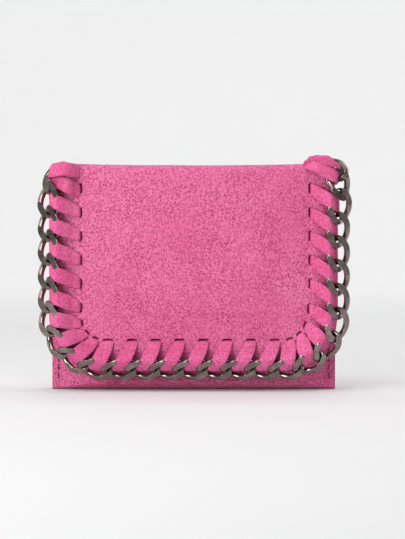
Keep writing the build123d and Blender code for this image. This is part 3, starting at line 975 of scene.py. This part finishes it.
def seam_thread(name, side, node):
    """The stitches that show on the front and the back of one side seam."""
    points, faces = [], []
    for face_y, outward, top in ((seam_front, -1, mouth_z), (seam_back, 1, pouch_high.z)):
        count = int((top - 6) / stitch_pitch)
        for number in range(count):
            z = top / 2 + (number - (count - 1) / 2) * stitch_pitch
            half = stitch_pitch * 0.40
            knots = [
                (side * stitch_x, face_y - outward * 0.45, z - half),
                (side * stitch_x, face_y + outward * 0.10, z - half * 0.7),
                (side * stitch_x, face_y + outward * 0.22, z),
                (side * stitch_x, face_y + outward * 0.10, z + half * 0.7),
                (side * stitch_x, face_y - outward * 0.45, z + half),
            ]
            start = len(points)
            more_points, more_faces = thread(knots, thread_radius)
            points.extend(more_points)
            faces.extend(tuple(start + i for i in face) for face in more_faces)
    obj = new_object(name, points, faces, thread_pink_and_hole_shade)
    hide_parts(node)
    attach(obj, "pouch")


seam_thread("seam_thread_left", -1, "seam_stitching_left")
seam_thread("seam_thread_right", 1, "seam_stitching_right")


def seam_filler(name, side):
    """The layers glued between the front and back leather, out at the stitched edge."""
    thickness, rows, columns = 3.8, 60, 7
    base, top = 1.6, divider_high.z - 1.0
    back = seam_back - leather + 0.1
    points = []
    for z in np.linspace(top, base, rows):
        above_mouth = smoothstep(z, mouth_z - 3.0, mouth_z - 1.0)
        front = seam_front + leather - 0.1
        front += (divider_low.y - front) * above_mouth
        for share in np.linspace(0, 1, columns):
            x = half_width - 0.45 - thickness / 2 + 0.08 * ripple(z, 0, 3.0)
            points.append((side * x, front + (back - front) * share, z))
    obj = new_object(name, points, grid_faces(rows, columns), inner_leather)
    thicken(obj, thickness, 0.25, offset=0)
    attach(obj, "pouch")


seam_filler("seam_filler_left", -1)
seam_filler("seam_filler_right", 1)

# ---------------------------------------------------------------- sheets inside the pouch


def soft_panel(name, node, material, bow=0.0, sag=0.0, rows=41):
    """A stitched sheet in place of a flat CAD panel, its upper edge turned and slightly slack."""
    columns = 61
    low, high = box_mm(node)
    points = []
    for i in range(rows):
        for j in range(columns):
            u = -1 + 2 * j / (columns - 1)
            w = i / (rows - 1)
            x = u * high.x
            z = high.z + (low.z - high.z) * w - sag * (1 - u * u) * (1 - w)
            y = low.y - bow * (1 - u**4) * sin(pi * min(1.0, w + 0.25))
            y += 0.06 * ripple(x, z, low.y * 3)
            points.append((x, y, z))
    obj = new_object(name, points, grid_faces(rows, columns), material)
    thicken(obj, max(0.3, (high.y - low.y) * 0.9), 0.12)
    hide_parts(node)
    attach(obj, "pouch")


for number in (1, 2, 3):
    sleeve, pocket = f"card_sleeve_{number}", f"card_pocket_{number}"
    soft_panel(sleeve, pocket, inner_leather, sag=0.5)
soft_panel("coin_pocket_cloth", "coin_pocket_back", lining_cloth, bow=-0.2, sag=0.4)
soft_panel("mouth_facing", "front_mouth_facing", inner_leather, sag=1.0, rows=7)

# CAD nodes that keep their shape and get their finish here
for node, material in (
    ("divider_panel", inner_leather),
    ("zip_tape_upper", tape_cloth),
    ("zip_tape_lower", tape_cloth),
    ("zip_teeth_upper", fitting_metal),
    ("zip_teeth_lower", fitting_metal),
    ("zip_end_stops", fitting_metal),
    ("zip_slider", fitting_metal),
    ("zip_pull", fitting_metal),
    ("snap_socket_cup", fitting_metal),
    ("snap_stud", fitting_metal),
    ("snap_magnet", magnet_black),
    ("snap_socket_washer", plated_steel),
    ("snap_stud_washer", plated_steel),
    ("flap_stiffener", fibre_board),
):
    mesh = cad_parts[node].data
    if not mesh.materials:
        mesh.materials.append(material)
    for index in range(len(mesh.materials)):
        mesh.materials[index] = material

# ---------------------------------------------------------------- riding

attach(pouch_lining, "pouch")
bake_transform(pouch_leather)
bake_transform(flap_leather)
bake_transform(flap_inside)

# ---------------------------------------------------------------- floor, light and camera

floor_z = -0.02
room_glow, wall_glow, ceiling_glow = 0.03, 0.50, 0.36


def floor_material():
    """Pale grey paper."""
    n = Nodes("floor_paper")
    n.colour(n.mix(n.noise(0.01), (0.70, 0.70, 0.70), (0.72, 0.72, 0.72)))
    n.roughness(n.noise(0.1), 0.8, 0.9)
    return n.material


def backdrop():
    """A pale floor that curves up into a wall behind and beside the wallet, open at the front."""
    radius, height, bend, around = 2500.0, 1700.0, 1000.0, 96
    profile = [(distance, 0.0) for distance in np.linspace(1.0, radius - bend, 14)]
    for angle in np.linspace(0, pi / 2, 20)[1:]:
        profile.append((radius - bend + bend * sin(angle), bend - bend * cos(angle)))
    profile.append((radius, height))
    points = []
    for turn in np.linspace(-pi, pi, around + 1):
        wall = 1 - smoothstep(abs(turn), radians(115), radians(150))
        for distance, rise in profile:
            points.append((distance * sin(turn), distance * cos(turn), floor_z + rise * wall))
    sweep = new_object("backdrop", points, grid_faces(around + 1, len(profile)), floor_material())


def softbox(name, place, aim, size, watts):
    """A rectangular soft light at a place, turned to its aim."""
    light = bpy.data.lights.new(name, "AREA")
    light.shape = "RECTANGLE"
    light.size, light.size_y = size
    light.energy = watts
    obj = bpy.data.objects.new(name, light)
    obj.location = place
    obj.rotation_euler = (Vector(aim) - Vector(place)).to_track_quat("-Z", "Y").to_euler()
    bpy.context.scene.collection.objects.link(obj)


def studio_world():
    """A dark room with a pale wall behind the camera and a bright ceiling."""
    world = bpy.data.worlds.new("studio")
    bpy.context.scene.world = world
    world.use_nodes = True
    tree = world.node_tree
    background = tree.nodes["Background"]
    place = tree.nodes.new("ShaderNodeTexCoord").outputs["Generated"]
    axes = tree.nodes.new("ShaderNodeSeparateXYZ")
    tree.links.new(place, axes.inputs[0])

    def glow(axis, start, end, strength):
        ramp = tree.nodes.new("ShaderNodeMapRange")
        ramp.interpolation_type = "SMOOTHSTEP"
        ramp.inputs["From Min"].default_value = start
        ramp.inputs["From Max"].default_value = end
        ramp.inputs["To Max"].default_value = strength
        tree.links.new(axes.outputs[axis], ramp.inputs["Value"])
        return ramp.outputs["Result"]

    total = tree.nodes.new("ShaderNodeMath")
    lifted = tree.nodes.new("ShaderNodeMath")
    lifted.inputs[1].default_value = room_glow
    tree.links.new(glow("Y", -0.60, -0.95, wall_glow), total.inputs[0])
    tree.links.new(glow("Z", 0.40, 0.85, ceiling_glow), total.inputs[1])
    tree.links.new(total.outputs[0], lifted.inputs[0])
    tree.links.new(lifted.outputs[0], background.inputs["Strength"])
    background.inputs["Color"].default_value = (0.98, 0.98, 1.0, 1)


backdrop()
studio_world()
middle = (0, 0, 0.045)
softbox("key", (-0.16, -0.46, 0.68), middle, (0.50, 0.34), 2.3)
softbox("fill", (-0.50, -0.72, 0.16), middle, (0.32, 0.32), 3.9)
softbox("strip_left", (-0.60, -0.05, 0.29), middle, (0.16, 0.40), 1.0)
softbox("strip_right", (0.60, -0.04, 0.30), middle, (0.16, 0.40), 1.0)
softbox("back_wash", (0, 1.1, 1.5), (0, 2.1, 0.35), (2.4, 0.6), 18.8)
softbox("ceiling", (0.25, 0.60, 1.7), (0.15, 0.60, 0), (2.2, 1.6), 11.5)

bpy.context.scene.view_settings.view_transform = "Standard"

frame_width = 0.1573
camera_distance = 1.10
camera_rise = radians(1.6)
target = Vector((0.00346, flap_face * MM, 0.0472))
camera_data = bpy.data.cameras.new("camera")
camera_data.sensor_fit = "HORIZONTAL"
camera_data.sensor_width = 36.0
camera_data.lens = 36.0 * camera_distance / frame_width
camera = bpy.data.objects.new("camera", camera_data)
camera.location = target + Vector((0, -cos(camera_rise), sin(camera_rise))) * camera_distance
camera.rotation_euler = (target - camera.location).to_track_quat("-Z", "Y").to_euler()
bpy.context.scene.collection.objects.link(camera)
bpy.context.scene.camera = camera
